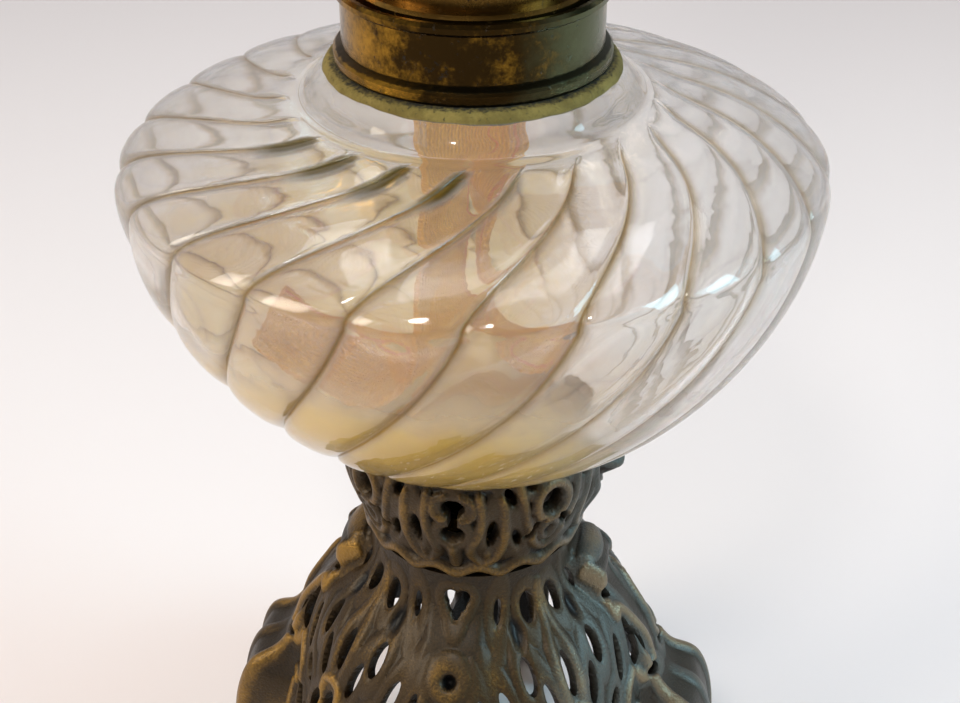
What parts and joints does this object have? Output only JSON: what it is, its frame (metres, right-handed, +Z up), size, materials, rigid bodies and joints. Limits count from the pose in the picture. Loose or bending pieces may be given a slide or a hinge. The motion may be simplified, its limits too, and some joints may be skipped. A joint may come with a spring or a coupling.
{
  "type": "oil lamp",
  "caption": "Table oil lamp: openwork cast scroll-leg base, swirl-ribbed clear glass font, brass collar, twin-wick burner with winders and a tall glass chimney.",
  "frame": {"origin": "centre of the base on the surface it stands on", "axes": "+Z up along the lamp's axis, -Y to the front as pictured, winder knobs on +X"},
  "size_m": [0.1756, 0.1756, 0.5685],
  "materials": {
    "casting": "dark bronzed casting with rubbed edges",
    "font_glass": "clear moulded glass",
    "chimney_glass": "clear blown glass",
    "collar_brass": "old brass with brown patina",
    "burner_brass": "old brass",
    "steel": "dull steel",
    "plaster": "aged plaster",
    "cotton": "oil-soaked woven cotton"
  },
  "bodies": {
    "base": {"pedestal": "casting", "font_cup": "casting", "font_stud": "steel", "stud_washer": "steel", "stud_nut": "steel", "font_mount": "collar_brass", "mount_cement": "plaster", "glass_font": "font_glass", "collar_cement": "plaster", "collar": "collar_brass"},
    "burner": {"burner_base": "burner_brass", "burner_floor": "burner_brass", "wick_tube_front": "burner_brass", "wick_tube_back": "burner_brass", "drum": "burner_brass", "drum_screws": "burner_brass", "winder_bracket": "burner_brass", "winder_bushes": "burner_brass", "air_plate": "burner_brass", "lever_bracket": "burner_brass", "lever_pin": "burner_brass"},
    "winder_front": {"winder_spindle_front": "burner_brass", "spur_wheels_front": "burner_brass", "winder_knob_front": "burner_brass"},
    "winder_back": {"winder_spindle_back": "burner_brass", "spur_wheels_back": "burner_brass", "winder_knob_back": "burner_brass"},
    "wick_front": {"wick_front": "cotton"},
    "wick_back": {"wick_back": "cotton"},
    "lever": {"extinguisher_lever": "burner_brass"},
    "extinguisher": {"extinguisher_sleeve": "burner_brass"},
    "gallery": {"gallery": "burner_brass", "flame_spreader": "burner_brass"},
    "chimney": {"chimney": "chimney_glass"}
  },
  "joints": [
    {"name": "burner_lift", "type": "slide", "parent": "base", "child": "burner", "axis": [0, 0, 1], "range_m": [0, 0.03]},
    {"name": "winder_front_turn", "type": "hinge", "parent": "burner", "child": "winder_front", "pos_m": [0, -0.0133, 0.29883], "axis": [1, 0, 0], "range_deg": [0, 95]},
    {"name": "winder_back_turn", "type": "hinge", "parent": "burner", "child": "winder_back", "pos_m": [0, 0.0133, 0.29883], "axis": [-1, 0, 0], "range_deg": [0, 95]},
    {"name": "wick_front_rise", "type": "slide", "parent": "burner", "child": "wick_front", "axis": [0, 0, 1], "range_m": [0, 0.01]},
    {"name": "wick_back_rise", "type": "slide", "parent": "burner", "child": "wick_back", "axis": [0, 0, 1], "range_m": [0, 0.01]},
    {"name": "extinguisher_lever_turn", "type": "hinge", "parent": "burner", "child": "lever", "pos_m": [-0.033, 0, 0.29883], "axis": [0, -1, 0], "range_deg": [0, 40]},
    {"name": "extinguisher_rise", "type": "slide", "parent": "burner", "child": "extinguisher", "axis": [0, 0, 1], "range_m": [0, 0.0088]},
    {"name": "gallery_lift", "type": "slide", "parent": "burner", "child": "gallery", "axis": [0, 0, 1], "range_m": [0, 0.045]},
    {"name": "chimney_lift", "type": "slide", "parent": "gallery", "child": "chimney", "axis": [0, 0, 1], "range_m": [0, 0.06]}
  ],
  "couplings": [
    {"joint": "wick_front_rise", "follows": "winder_front_turn", "m_per_rad": 0.006},
    {"joint": "wick_back_rise", "follows": "winder_back_turn", "m_per_rad": 0.006},
    {"joint": "extinguisher_rise", "follows": "extinguisher_lever_turn", "m_per_rad": 0.0125}
  ]
}
